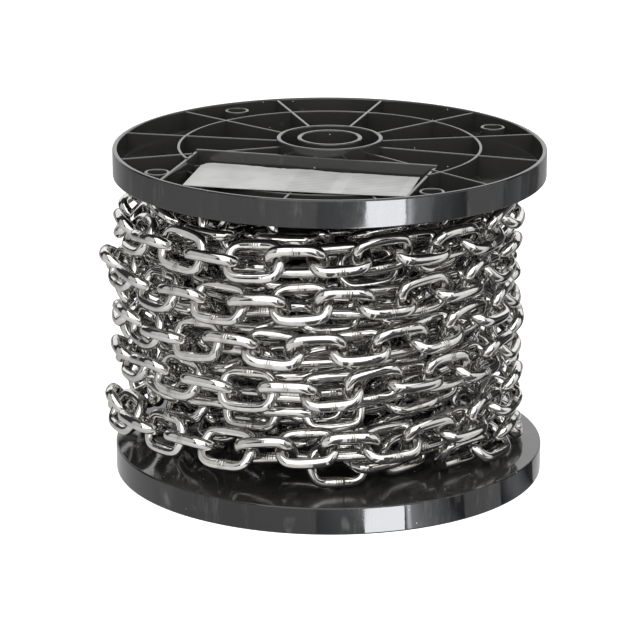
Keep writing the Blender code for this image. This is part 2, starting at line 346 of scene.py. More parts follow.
@dataclass(frozen=True)
class LabelPaper:
    """Matt white card with faint fibres and two plain blocks of ruled lines."""

    white: Colour = rgba(0.54, 0.54, 0.53)
    fibre: Colour = rgba(0.46, 0.46, 0.45)
    ink: Colour = rgba(0.17, 0.17, 0.175)
    turn: float = math.radians(100.5)
    rule_step: float = 3.6 * MM
    rule_width: float = 0.30
    rule_depth: float = 0.45
    blocks: tuple[tuple[float, float], ...] = ((2 * MM, 13 * MM), (40 * MM, 17 * MM))

    def build(self, finishes: Finishes) -> bpy.types.Material:
        """Return the card's material."""
        material, tree, shader = start_material("white_label_card")
        place = tree.add("TexCoord").outputs["Object"]
        parts = tree.add("SeparateXYZ", {0: tree.turned(place, self.turn)}).outputs
        cloud = tree.noise(place, 60.0, 6.0)
        fibres = tree.group(finishes.specks, Vector=place, Scale=900.0, Size=0.3, Share=0.28)
        rule = tree.math("FRACT", tree.math("DIVIDE", parts["X"], self.rule_step))
        rule = tree.math("LESS_THAN", rule, self.rule_width)
        inside = 0.0
        for middle, half in self.blocks:
            offset = tree.math("ABSOLUTE", tree.math("SUBTRACT", parts["Y"], middle))
            inside = tree.math("MAXIMUM", inside, tree.math("LESS_THAN", offset, half))
        colour = tree.blend(tree.ramp(cloud, 0.35, 0.7), self.white, self.fibre)
        colour = tree.blend(tree.times(fibres["Specks"], 0.25), colour, self.fibre)
        colour = tree.blend(tree.times(tree.times(rule, inside), self.rule_depth), colour, self.ink)
        tree.feed(shader.inputs["Base Color"], colour)
        tree.feed(shader.inputs["Roughness"], tree.between(cloud, 0.42, 0.62))
        tree.emboss(shader, cloud, strength=0.12, distance=0.3 * MM)
        return material


@dataclass(frozen=True)
class Materials:
    """The finished materials."""

    plastic: bpy.types.Material
    steel: bpy.types.Material
    paper: bpy.types.Material

    @classmethod
    def make(cls) -> "Materials":
        """Build every material of the reel and the chain."""
        finishes = Finishes.make()
        plastic = GlossPlastic().build(finishes)
        steel = PolishedSteel().build(finishes)
        return cls(plastic=plastic, steel=steel, paper=LabelPaper().build(finishes))


@dataclass(frozen=True)
class Dress:
    """How a finished mesh becomes a piece of the model."""

    slot: Slot
    material: bpy.types.Material
    nodes: tuple[str, ...]
    smoothing: int = 0
    crease: float = math.radians(38)
    flat_walls: bool = False

    def piece(self, name: str, bm: BMesh) -> bpy.types.Object:
        """Turn a bmesh into a named piece that rides on the reel and replaces its nodes.

        Args:
            name: The piece's name.
            bm: The finished shape, which is freed.

        Returns:
            The piece's object.
        """
        bmesh.ops.recalc_face_normals(bm, faces=bm.faces)
        mesh = to_mesh(name, bm)
        mesh.materials.append(self.material)
        mesh.shade_smooth()
        if not self.smoothing:
            mesh.set_sharp_from_angle(angle=self.crease)
        obj = to_object(name, mesh)
        if self.smoothing:
            subdivision = obj.modifiers.new("Smooth wire", "SUBSURF")
            subdivision.levels = subdivision.render_levels = self.smoothing
        if self.flat_walls:
            obj.modifiers.new("Flat walls", "WEIGHTED_NORMAL").keep_sharp = True
        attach(obj, BODY)
        if self.nodes:
            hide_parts(*self.nodes)
        LOG.info("%s: %d faces, smoothed %d times", name, len(mesh.polygons), self.smoothing)
        return obj


def to_mesh(name: str, bm: BMesh) -> bpy.types.Mesh:
    """Return a bmesh as a mesh, and free it."""
    mesh = bpy.data.meshes.new(name)
    bm.to_mesh(mesh)
    bm.free()
    return mesh


def to_object(name: str, data: bpy.types.ID) -> bpy.types.Object:
    """Add an object to the scene and return it."""
    obj = bpy.data.objects.new(name, data)
    bpy.context.scene.collection.objects.link(obj)
    return obj


def only_edges(items: Iterable) -> BMEdges:
    """Return the edges among a bmesh's parts."""
    return [item for item in items if isinstance(item, bmesh.types.BMEdge)]


def turn_verts(bm: BMesh, verts: Iterable, angle: float) -> None:
    """Turn points about the Z axis."""
    bmesh.ops.rotate(bm, verts=verts, cent=(0, 0, 0), matrix=Matrix.Rotation(angle, 3, "Z"))


def arc(
    centre: tuple[float, float], radius: float, start: float, end: float, steps: int = 3,
) -> Outline:
    """Return points on an arc of an outline.

    Args:
        centre: The arc's centre.
        radius: Its radius.
        start: Its first angle, in degrees.
        end: Its last angle, in degrees.
        steps: How many stretches it is divided into.

    Returns:
        The points, first and last included.
    """
    angles = (math.radians(start + (end - start) * k / steps) for k in range(steps + 1))
    return [(centre[0] + radius * math.cos(a), centre[1] + radius * math.sin(a)) for a in angles]


def spin_outline(
    bm: BMesh, outline: Outline, steps: int, start: float = 0.0, sweep: float = math.tau,
) -> None:
    """Spin a closed outline of radius and height about the Z axis.

    Args:
        bm: The mesh to add to.
        outline: The outline's points.
        steps: Steps of the spin.
        start: Angle where the spin starts.
        sweep: Angle that it covers; less than a full turn gets both ends capped.
    """
    verts = [bm.verts.new((radius, 0.0, height)) for radius, height in outline]
    edges = [bm.edges.new(pair) for pair in zip(verts, verts[1:] + verts[:1])]
    turn_verts(bm, verts, start)
    full = abs(sweep - math.tau) < 1e-6
    made = bmesh.ops.spin(
        bm, geom=verts + edges, cent=(0, 0, 0), axis=(0, 0, 1), dvec=(0, 0, 0),
        angle=sweep, steps=steps, use_merge=full,
    )
    if not full:
        for end in (edges, only_edges(made["geom_last"])):
            bmesh.ops.contextual_create(bm, geom=end)


def tube_outline(outer: float, wall: float, low: float, high: float, lip: float) -> Outline:
    """Return a ring's section with its top edges rounded."""
    inner = outer - wall
    return (
        [(inner, low), (outer, low)]
        + arc((outer - lip, high - lip), lip, 0, 90)
        + arc((inner + lip, high - lip), lip, 90, 180)
    )


@dataclass
class Flange:
    """One moulded flange, drawn with its chain side on z = 0 and its ribbed side up."""

    node: str
    place: Matrix
    hub_height: float
    crown: float
    has_pocket: bool
    radius: float = FLANGE_RADIUS
    rim_height: float = RIM_HEIGHT
    rim_wall: float = 3 * MM
    web: float = 3 * MM
    rib: float = 1.8 * MM
    rib_count: int = 12
    rib_drop: float = 0.5 * MM
    mid_ring: float = 0.695 * FLANGE_RADIUS
    hub: float = 32.6 * MM
    hub_wall: float = 2.6 * MM
    bore: float = 17.2 * MM
    spindle_ring: float = 20 * MM
    spigot: float = 2 * MM
    ring_lip: float = 0.7 * MM
    boss: float = 7.8 * MM
    boss_wall: float = 2 * MM
    boss_circle: float = 119 * MM
    boss_drop: float = 2 * MM
    boss_count: int = 4
    first_boss: float = math.radians(30)
    pocket_angle: float = math.radians(-105)
    pocket_half: float = 74.5 * MM
    pocket_back: float = 33.4 * MM
    pocket_side_end: float = 108.5 * MM
    pocket_wall: float = 2 * MM
    pocket_depth: float = 7.2 * MM

    def rib_top(self, radius: float) -> float:
        """Return the height of the rib tops at a radius."""
        return self.rim_height - self.rib_drop + self.crown * (1 - radius / self.radius)

    def shell(self) -> BMesh:
        """Return the web and the rim, with their edges rounded."""
        bm = bmesh.new()
        inner = (self.bore + self.spindle_ring) / 2
        rim_in = self.radius - self.rim_wall
        soft, lip, fillet = 1.0 * MM, 0.9 * MM, 1.5 * MM
        outline = (
            [(inner, 0.0)]
            + arc((self.radius - soft, soft), soft, -90, 0)
            + arc((self.radius - lip, self.rim_height - lip), lip, 0, 90, 4)
            + arc((rim_in + lip, self.rim_height - lip), lip, 90, 180, 4)
            + arc((rim_in - fillet, self.web + fillet), fillet, 0, -90)
            + [(inner, self.web)]
        )
        spin_outline(bm, outline, 160)
        return bm

    def rings(self) -> BMesh:
        """Return the spindle ring, the hub ring and the ring that joins the ribs."""
        bm = bmesh.new()
        spindle_wall = self.spindle_ring - self.bore
        for outer, wall, low in (
            (self.spindle_ring, spindle_wall, -self.spigot),
            (self.hub, self.hub_wall, self.web / 2),
        ):
            spin_outline(bm, tube_outline(outer, wall, low, self.hub_height, self.ring_lip), 96)
        outer = self.mid_ring + self.rib / 2
        full = tube_outline(outer, self.rib, self.web / 2, self.rib_top(self.mid_ring), 0.5 * MM)
        if not self.has_pocket:
            spin_outline(bm, full, 160)
            return bm
        reach = math.asin(self.pocket_half / self.mid_ring)
        low = tube_outline(outer, self.rib, self.web / 2, self.rim_height - self.pocket_depth, 0.5 * MM)
        spin_outline(bm, low, 48, self.pocket_angle - reach, 2 * reach)
        spin_outline(bm, full, 112, self.pocket_angle + reach, math.tau - 2 * reach)
        return bm

    def rib_stretches(self, angle: float) -> list[tuple[float, float, bool]]:
        """Return a rib's stretches as inner radius, outer radius and whether it is lowered."""
        inner = self.hub - self.hub_wall / 2
        outer = self.radius - self.rim_wall / 2
        if not self.has_pocket:
            return [(inner, outer, False)]
        offset = math.remainder(angle - self.pocket_angle, math.tau)
        if abs(offset) >= math.pi / 2 - 0.1:
            return [(inner, outer, False)]
        enters = self.pocket_back / math.cos(offset)
        leaves = min(outer, self.pocket_half / max(abs(math.sin(offset)), 1e-6))
        if enters >= leaves:
            return [(inner, outer, False)]
        stretches = [(inner, enters, False), (enters, leaves, True), (leaves, outer, False)]
        return [item for item in stretches if item[1] - item[0] > 0.5 * MM]

    def ribs(self) -> BMesh:
        """Return the radial ribs, with their top edges rounded."""
        bm = bmesh.new()
        step = math.tau / self.rib_count
        for k in range(self.rib_count):
            angle = (k + 0.5) * step
            for start, end, lowered in self.rib_stretches(angle):
                tops = (self.rib_top(start), self.rib_top(end))
                if lowered:
                    tops = (self.rim_height - self.pocket_depth,) * 2
                self.bar(bm, (start, -self.rib / 2), (end, self.rib / 2), tops, angle)
        return bm

    def bar(
        self, bm: BMesh, low: tuple[float, float], high: tuple[float, float],
        tops: tuple[float, float], angle: float, lip: float = 0.45 * MM,
    ) -> None:
        """Add a thin upright wall that stands on the web.

        Args:
            bm: The mesh to add to.
            low: Its lowest X and Y before it is turned.
            high: Its highest X and Y.
            tops: Heights of its top edge at the lowest and the highest X.
            angle: How far it is turned about the Z axis.
            lip: Radius of its top edges.
        """
        made = bmesh.ops.create_cube(bm, size=1.0)["verts"]
        upper_verts = set()
        for vert in made:
            right, back = vert.co.x > 0, vert.co.y > 0
            height = self.web / 2
            if vert.co.z > 0:
                height = tops[1] if right else tops[0]
                upper_verts.add(vert)
            vert.co = (high[0] if right else low[0], high[1] if back else low[1], height)
        spare = min(high[0] - low[0], high[1] - low[1]) / 2
        upper = [edge for edge in bm.edges if upper_verts.issuperset(edge.verts)]
        result = bmesh.ops.bevel(
            bm, geom=upper, offset=min(lip, 0.8 * spare), offset_type="OFFSET", segments=2,
            profile=0.5, affect="EDGES", material=-1,
        )
        moved = set(made) | set(result["verts"])
        turn_verts(bm, [vert for vert in moved if vert.is_valid], angle)

    def bosses(self) -> BMesh:
        """Return the four hollow bosses near the rim."""
        bm = bmesh.new()
        top = self.rim_height - self.boss_drop
        for k in range(self.boss_count):
            turn = Matrix.Rotation(self.first_boss + k * math.tau / self.boss_count, 4, "Z")
            place = turn @ Matrix.Translation((self.boss_circle, 0, 0))
            before = len(bm.verts)
            spin_outline(bm, tube_outline(self.boss, self.boss_wall, self.web / 2, top, 0.6 * MM), 40)
            bm.verts.ensure_lookup_table()
            bmesh.ops.transform(bm, matrix=place, verts=bm.verts[before:])
        return bm

    def pocket(self) -> BMesh:
        """Return the three walls of the label pocket."""
        bm = bmesh.new()
        half = self.pocket_wall / 2
        top = self.rim_height - self.rib_drop
        back = top + self.crown / 2
        low = (self.pocket_back - half, -self.pocket_half - half)
        high = (self.pocket_back + half, self.pocket_half + half)
        self.bar(bm, low, high, (back, back), self.pocket_angle)
        for side in (-1, 1):
            centre = side * self.pocket_half
            low = (self.pocket_back - half / 2, centre - half)
            high = (self.pocket_side_end, centre + half)
            self.bar(bm, low, high, (top + self.rib_drop / 2,) * 2, self.pocket_angle)
        return bm

    def build(self, materials: Materials) -> bpy.types.Object:
        """Add the flange's pieces in place of its node, and return the one with the rim."""
        shapes = {"rings": self.rings(), "ribs": self.ribs(), "bosses": self.bosses()}
        if self.has_pocket:
            shapes["label_pocket"] = self.pocket()
        walls = Dress(Slot.PLASTIC, materials.plastic, (self.node,), flat_walls=True)
        for name, bm in shapes.items():
            bm.transform(self.place)
            walls.piece(f"{self.node}_{name}", bm)
        bm = self.shell()
        bm.transform(self.place)
        return walls.piece(f"{self.node}_shell", bm)


@dataclass
class LabelCard:
    """The card in the pocket, a little askew, its back edge torn away towards the right."""

    node: str = "label_card"
    angle: float = math.radians(-105)
    askew: float = math.radians(4.5)
    length: float = 135 * MM
    depth: float = 57 * MM
    centre: float = 60.5 * MM
    thickness: float = 0.4 * MM
    curl: float = 0.5 * MM
    torn: Sequence[float] = (0.0, 0.3, 1.2, 2.6, 4.4, 5.2, 4.6, 7.6, 8.4, 8.0, 9.2, 10.0, 10.6)
    fray: float = 0.7 * MM
    corner: float = 7 * MM

    def build(self, materials: Materials) -> None:
        """Add the card in place of its node."""
        low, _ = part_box(self.node)
        bm = bmesh.new()
        bmesh.ops.create_grid(bm, x_segments=22, y_segments=56, size=0.5)
        chance = random.Random(7)
        last = len(self.torn) - 1
        for vert in bm.verts:
            across, along = vert.co.x + 0.5, vert.co.y + 0.5
            lift = self.curl * abs(2 * along - 1) ** 4 * (0.35 + 0.65 * across)
            torn = smooth_value(self.torn, along * last) * MM
            if across < 0.01:
                torn += self.fray * chance.uniform(-1, 1) * math.sin(math.pi * along)
            rounded = max(0.0, 1 - along * self.length / self.corner)
            torn = max(torn, self.corner * (1 - math.sqrt(1 - rounded ** 2)))
            reach = torn + across * (self.depth - torn) - self.depth / 2
            vert.co = (reach, (along - 0.5) * self.length, low.z + lift)
        turn_verts(bm, bm.verts, self.askew)
        bmesh.ops.translate(bm, vec=(self.centre, 0, 0), verts=bm.verts)
        turn_verts(bm, bm.verts, self.angle)
        bmesh.ops.recalc_face_normals(bm, faces=bm.faces)
        if sum(face.normal.z for face in bm.faces) < 0:
            bmesh.ops.reverse_faces(bm, faces=bm.faces)
        bmesh.ops.solidify(bm, geom=bm.faces, thickness=-self.thickness)
        Dress(Slot.PAPER, materials.paper, (self.node,)).piece("label_card_sheet", bm)


@dataclass(frozen=True)
class LinkShape:
    """One welded link of round wire, drawn flat: X along the chain, Y across it."""

    wire: float = 7 * MM
    pitch: float = 25.4 * MM
    width: float = 28 * MM
    corner: float = 6.6 * MM
    bead: float = 1.045
    bead_half: float = 1.4 * MM
    bead_foot: float = 2.3 * MM
    round_factor: float = 2 / 3

    @property
    def long_half(self) -> float:
        """Half the length of the wire's centre line."""
        return (self.pitch + self.wire) / 2

    @property
    def wide_half(self) -> float:
        """Half the width of the wire's centre line."""
        return (self.width - self.wire) / 2

    def extrude(self, bm: BMesh, edges: BMEdges, shift: Vector, swell: float = 1.0) -> BMEdges:
        """Run the wire's section straight on, swelling it where asked, and return its new edges."""
        made = bmesh.ops.extrude_edge_only(bm, edges=edges)["geom"]
        verts = [item for item in made if isinstance(item, bmesh.types.BMVert)]
        bmesh.ops.translate(bm, vec=shift, verts=verts)
        centre = sum((vert.co for vert in verts), Vector()) / len(verts)
        for vert in verts:
            vert.co = centre + (vert.co - centre) * swell
        return only_edges(made)

    def bend(self, bm: BMesh, edges: BMEdges, centre: Vector) -> BMEdges:
        """Bend the wire through a right angle about a corner's centre, and return its new edges."""
        verts = list({vert for edge in edges for vert in edge.verts})
        made = bmesh.ops.spin(
            bm, geom=verts + edges, cent=centre, axis=(0, 0, -1), dvec=(0, 0, 0),
            angle=math.pi / 2, steps=2,
        )
        return only_edges(made["geom_last"])

    def template(self) -> bpy.types.Mesh:
        """Return one link as a cage of a few dozen faces, with its own coordinates as an attribute."""
        bm = bmesh.new()
        reach = self.long_half - self.corner
        side = self.wide_half - self.corner
        start = Matrix.Translation((0, self.wide_half, 0)) @ Matrix.Rotation(math.pi / 2, 4, "Y")
        start = start @ Matrix.Rotation(math.pi / 4, 4, "Z")
        radius = self.wire / 2 / self.round_factor
        bmesh.ops.create_circle(bm, cap_ends=False, segments=4, radius=radius * self.bead, matrix=start)
        edges = list(bm.edges)
        ahead, across = Vector((1, 0, 0)), Vector((0, 1, 0))
        flare, straight = self.bead_foot - self.bead_half, reach - self.bead_foot
        edges = self.extrude(bm, edges, ahead * self.bead_half)
        edges = self.extrude(bm, edges, ahead * flare, 1 / self.bead)
        for shift, corner in (
            (ahead * straight, (reach, side)),
            (across * (-2 * side), (reach, -side)),
            (ahead * (-2 * reach), (-reach, -side)),
            (across * (2 * side), (-reach, side)),
        ):
            edges = self.extrude(bm, edges, shift)
            edges = self.bend(bm, edges, Vector((*corner, 0)))
        edges = self.extrude(bm, edges, ahead * straight)
        edges = self.extrude(bm, edges, ahead * flare, self.bead)
        self.extrude(bm, edges, ahead * self.bead_half)
        bmesh.ops.remove_doubles(bm, verts=bm.verts, dist=0.01 * MM)
        bmesh.ops.recalc_face_normals(bm, faces=bm.faces)
        layer = bm.verts.layers.float_vector.new(PLACE)
        bm.verts.layers.float.new(TINT)
        for vert in bm.verts:
            vert[layer] = vert.co
        return to_mesh("link_cage", bm)

    def centre_line(self, place: Matrix) -> list[Vector]:
        """Return points along the middle of a placed link's wire."""
        near, far = self.wide_half - self.corner / 3, self.long_half - self.corner / 3
        quarter = [(self.long_half, 0.0), (self.long_half, near / 2), (far, near)]
        quarter += [(far * share, self.wide_half) for share in (0.66, 0.33, 0.0)]
        points = [(sx * x, sy * y) for x, y in quarter for sx in (-1, 1) for sy in (-1, 1)]
        return [place @ Vector((x, y, 0.0)) for x, y in points]


def smooth_value(values: Sequence[float], place: float) -> float:
    """Return a value on the smooth curve through evenly spaced values.

    Args:
        values: The values, one at each whole place.
        place: Where to read the curve.

    Returns:
        The value there.
    """
    last = len(values) - 1
    index = min(int(place), last - 1)
    part = min(place - index, 1.0)
    before, here, after, beyond = (values[min(max(index + k, 0), last)] for k in (-1, 0, 1, 2))
    bend = 2 * before - 5 * here + 4 * after - beyond
    twist = 3 * (here - after) + beyond - before
    return here + 0.5 * part * (after - before + part * (bend + part * twist))


def summed(waves: Waves, place: float) -> float:
    """Return the sum, at a place, of sine waves that are each a size, a rate and a phase."""
    return sum(size * math.sin(rate * place + phase) for size, rate, phase in waves)


@dataclass
class Winding:
    """A layer of chain wound on the reel, link by link, from a lowest to a highest level."""

    links_per_turn: float
    turns: float
    lowest: float
    highest: float
    sense: int = 1
    start: float = math.radians(90)
    shift: float = -7.0 * MM
    lean: float = -2.0 * MM
    back: float = 2.0 * MM
    stray_heights: Sequence[float] = (0.0, 0.0)
    height_waves: Waves = ()
    radius_waves: Waves = ()
    roll_waves: Waves = ()
    roll_centre: float = 45.0
    swells: Sequence[tuple[float, float, float, float, float]] = ()
    core: Vector = field(default_factory=lambda: Vector((-8 * MM, 1 * MM, 0.0)))
    slack: float = 0.0
    drum_clear: float = 57.5 * MM
    shape: LinkShape = field(default_factory=LinkShape)
    joints: list[Vector] = field(default_factory=list)
    starts: list[int] = field(default_factory=list)

    def point(self, turn: float) -> Vector:
        """Return the chain's centre line at a number of turns from its start."""
        angle = self.start + self.sense * math.tau * turn
        rise = turn / self.turns
        radius = self.shape.pitch / (2 * math.sin(math.pi / self.links_per_turn))
        stray = smooth_value(self.stray_heights, (len(self.stray_heights) - 1) * rise)
        stray += summed(self.height_waves, angle)
        radius += summed(self.radius_waves, angle) * MM
        side = self.shift + self.lean * math.sin(math.pi * rise) + radius * math.cos(angle)
        back = self.back * (1 - rise) ** 2 + radius * math.sin(angle)
        height = self.lowest + (self.highest - self.lowest) * rise + stray * MM
        return self.swollen(Vector((side, back, height)))

    def lay(self) -> None:
        """Place the joints between links a pitch apart, and note the link that starts each turn."""
        turn = 0.0
        self.joints = [self.point(turn)]
        self.starts = [0]
        while turn < self.turns:
            closes = turn + 1.5 / self.links_per_turn > len(self.starts)
            closes = closes and len(self.starts) < self.turns
            reach = self.shape.pitch - (self.slack if closes else 0.0)
            step = 1 / self.links_per_turn
            for _ in range(6):
                step *= reach / (self.point(turn + step) - self.joints[-1]).length
            if turn + step > self.turns:
                break
            turn += step
            self.joints.append(self.point(turn))
            if closes:
                self.starts.append(len(self.joints) - 1)

    def swollen(self, joint: Vector) -> Vector:
        """Return a point moved outwards where the layer bulges, or inwards where it sinks.

        Each swell is a bearing in degrees, a height, a spread in degrees, a spread in height
        and a size, the lengths in millimetres. A size below zero moves the point inwards.
        """
        away = joint - self.core
        away.z = 0.0
        bearing = math.degrees(math.atan2(away.y, away.x))
        out = 0.0
        for towards, height, wide, tall, size in self.swells:
            turned = math.remainder(bearing - towards, 360) / wide
            raised = (joint.z / MM - height) / tall
            out += size * MM * math.exp(-turned * turned - raised * raised)
        return joint + away.normalized() * out

    def roll(self, index: int) -> float:
        """Return how far a link is rolled about the chain's line."""
        return math.radians(self.roll_centre + summed(self.roll_waves, index) + 90 * index)

    def link_place(self, index: int) -> Matrix:
        """Return the place of a link between its two joints."""
        start, end = self.joints[index], self.joints[index + 1]
        along = (end - start).normalized()
        centre = start + along * self.shape.pitch / 2
        outward = centre - self.core
        outward.z = 0.0
        outward = (outward - along * outward.dot(along)).normalized()
        across = Matrix.Rotation(self.roll(index), 3, along) @ outward
        rotation = Matrix((along, across, along.cross(across))).transposed().to_4x4()
        return Matrix.Translation(centre) @ rotation

    def turn_ranges(self) -> list[tuple[int, int]]:
        """Return the first link and the one past the last, for each turn."""
        ends = self.starts[1:] + [len(self.joints) - 1]
        return list(zip(self.starts, ends))

    def wire_points(self) -> Iterable[Vector]:
        """Yield points along the wire of every link."""
        for index in range(len(self.joints) - 1):
            yield from self.shape.centre_line(self.link_place(index))

    def settle_under(self, outer: "Winding", rounds: int = 5, air: float = 0.2 * MM) -> None:
        """Move this layer in towards the drum wherever the layer over it would cut it.

        Args:
            outer: The layer that lies over this one.
            rounds: How many times the layers are compared.
            air: Room left between the wires.
        """
        points = list(outer.wire_points())
        tree = KDTree(len(points))
        for index, point in enumerate(points):
            tree.insert(point, index)
        tree.balance()
        need = self.shape.wire + air
        for _ in range(rounds):
            push = [0.0] * len(self.joints)
            for index in range(len(self.joints) - 1):
                line = self.shape.centre_line(self.link_place(index))
                depth = need - min(tree.find(point)[2] for point in line)
                if depth > 0:
                    for end in (index, index + 1):
                        push[end] = max(push[end], depth)
            if not any(push):
                break
            for index, depth in enumerate(push):
                spread = max(push[max(index - 1, 0):index + 2]) * 0.5
                inward = self.core - self.joints[index]
                inward.z = 0.0
                moved = self.joints[index] + inward.normalized() * max(depth, spread)
                if moved.to_2d().length > self.drum_clear:
                    self.joints[index] = moved

    def build(self, names: Sequence[str], dress: Dress, cage: bpy.types.Mesh, seed: int) -> None:
        """Add one piece for each turn.

        Args:
            names: The pieces' names, a turn each.
            dress: How they are finished; a name that is a node's replaces that node.
            cage: One link's cage.
            seed: Seed of the links' tints.
        """
        chance = random.Random(seed)
        for name, (first, last) in zip(names, self.turn_ranges()):
            bm = bmesh.new()
            for index in range(first, last):
                before = len(bm.verts)
                bm.from_mesh(cage)
                bm.verts.ensure_lookup_table()
                added = bm.verts[before:]
                tint = bm.verts.layers.float[TINT]
                shade = chance.random()
                for vert in added:
                    vert[tint] = shade
                bmesh.ops.transform(bm, matrix=self.link_place(index), verts=added)
            replace(dress, nodes=dress.nodes or (name,)).piece(f"{name}_links", bm)


@dataclass
class Chain:
    """The whole chain: the outer layer, the run that leads to it, and three layers under it."""

    outer: Winding = field(
        default_factory=lambda: Winding(
            links_per_turn=29, turns=5, lowest=30.5 * MM, highest=173 * MM, slack=1.9 * MM,
            stray_heights=(0, 1, 3, 6, 9, 11, 12, 11, 10, 10, 9, 9, 8, 8, 7, 6, 6, 6, 6, 4, 0),
            height_waves=OUTER_RISES,
            radius_waves=OUTER_REACHES,
            roll_waves=((22, 0.43, 3.4), (10, 0.95, 5.1)),
            swells=((182, 131, 15, 12, 7.5), (184, 39, 15, 12, 7.5), (-8, 70, 45, 40, 5.0)),
        )
    )
    lead: Winding = field(
        default_factory=lambda: Winding(
            links_per_turn=29, turns=0.385, lowest=30.5 * MM, highest=30.0 * MM, sense=-1,
            height_waves=OUTER_RISES,
            radius_waves=OUTER_REACHES,
            roll_waves=((15, 0.6, 0.0),),
            roll_centre=60.0,
            swells=((12, 30, 45, 30, 6.0), (-58, 30, 25, 30, -13.0)),
        )
    )
    middle: Winding = field(
        default_factory=lambda: Winding(
            links_per_turn=25, turns=5, lowest=31 * MM, highest=173.5 * MM,
            stray_heights=(0, 1.5, 3, 5, 6.5, 8, 9, 10, 10, 9.5, 9, 8, 7.5, 7, 7, 6, 6, 6, 5, 3, 1),
            height_waves=((1.6, 1.7, 0.9), (1.1, 5.3, 2.2)),
            radius_waves=((1.0, 2.3, 0.7), (1.5, 2.0, -1.6)),
            roll_waves=((30, 0.31, 1.1), (18, 0.77, 0.4)),
            start=math.radians(270),
            swells=((-20, 34, 55, 16, 16.0),),
        )
    )
    inner: Winding = field(
        default_factory=lambda: Winding(
            links_per_turn=21.3, turns=6, lowest=31 * MM, highest=175 * MM,
            shift=-6 * MM, back=1 * MM,
            height_waves=((2.0, 1.3, 2.9), (1.1, 4.3, 1.2)),
            radius_waves=((1.0, 2.1, 2.7),),
            roll_waves=((20, 0.36, 2.1), (10, 0.71, 3.4)),
            start=math.radians(80),
        )
    )
    deepest: Winding = field(
        default_factory=lambda: Winding(
            links_per_turn=15, turns=6, lowest=32 * MM, highest=173 * MM,
            shift=-1 * MM, lean=0.0, back=0.0,
            height_waves=((1.5, 2.3, 0.4),),
            roll_waves=((14, 0.5, 1.2),),
            start=math.radians(200),
        )
    )

    def build(self, materials: Materials) -> None:
        """Add every layer of chain."""
        cage = self.outer.shape.template()
        for layer in (self.outer, self.lead, self.middle, self.inner, self.deepest):
            layer.lay()
        self.middle.settle_under(self.outer)
        self.middle.settle_under(self.lead)
        self.inner.settle_under(self.middle, rounds=8)
        self.deepest.settle_under(self.inner, rounds=8)
        shown = Dress(Slot.STEEL, materials.steel, (), smoothing=2)
        hidden = replace(shown, nodes=("inner_windings",))
        coarse = replace(hidden, smoothing=1)
        for layer, name, turns, dress, seed in (
            (self.outer, "chain_turn", 5, shown, 11),
            (self.lead, None, 1, hidden, 5),
            (self.middle, "second_layer_turn", 5, hidden, 23),
            (self.inner, "third_layer_turn", 6, coarse, 37),
            (self.deepest, "fourth_layer_turn", 6, coarse, 41),
        ):
            names = [f"{name}_{k + 1}" for k in range(turns)] if name else ["first_turn_lead_in"]
            layer.build(names, dress, cage, seed)
        bpy.data.meshes.remove(cage)


@dataclass(frozen=True)
class Panel:
    """One soft light panel, placed by its direction from the reel."""

    name: str
    azimuth: float
    elevation: float
    distance: float
    size: tuple[float, float]
    brightness: float

    def build(self, aim: Vector) -> None:
        """Add the panel, facing the aim, as bright as a white surface times its brightness."""
        angle, lift = math.radians(self.azimuth), math.radians(self.elevation)
        level = Vector((math.sin(angle), -math.cos(angle), 0.0)) * math.cos(lift)
        way = level + Vector((0.0, 0.0, math.sin(lift)))
        data = bpy.data.lights.new(self.name, "AREA")
        data.shape = "RECTANGLE"
        data.size, data.size_y = self.size
        data.energy = self.brightness * math.pi * self.size[0] * self.size[1]
        obj = to_object(self.name, data)
        obj.location = aim + way * self.distance
        obj.rotation_euler = (-way).to_track_quat("-Z", "Y").to_euler()
        obj.visible_camera = False


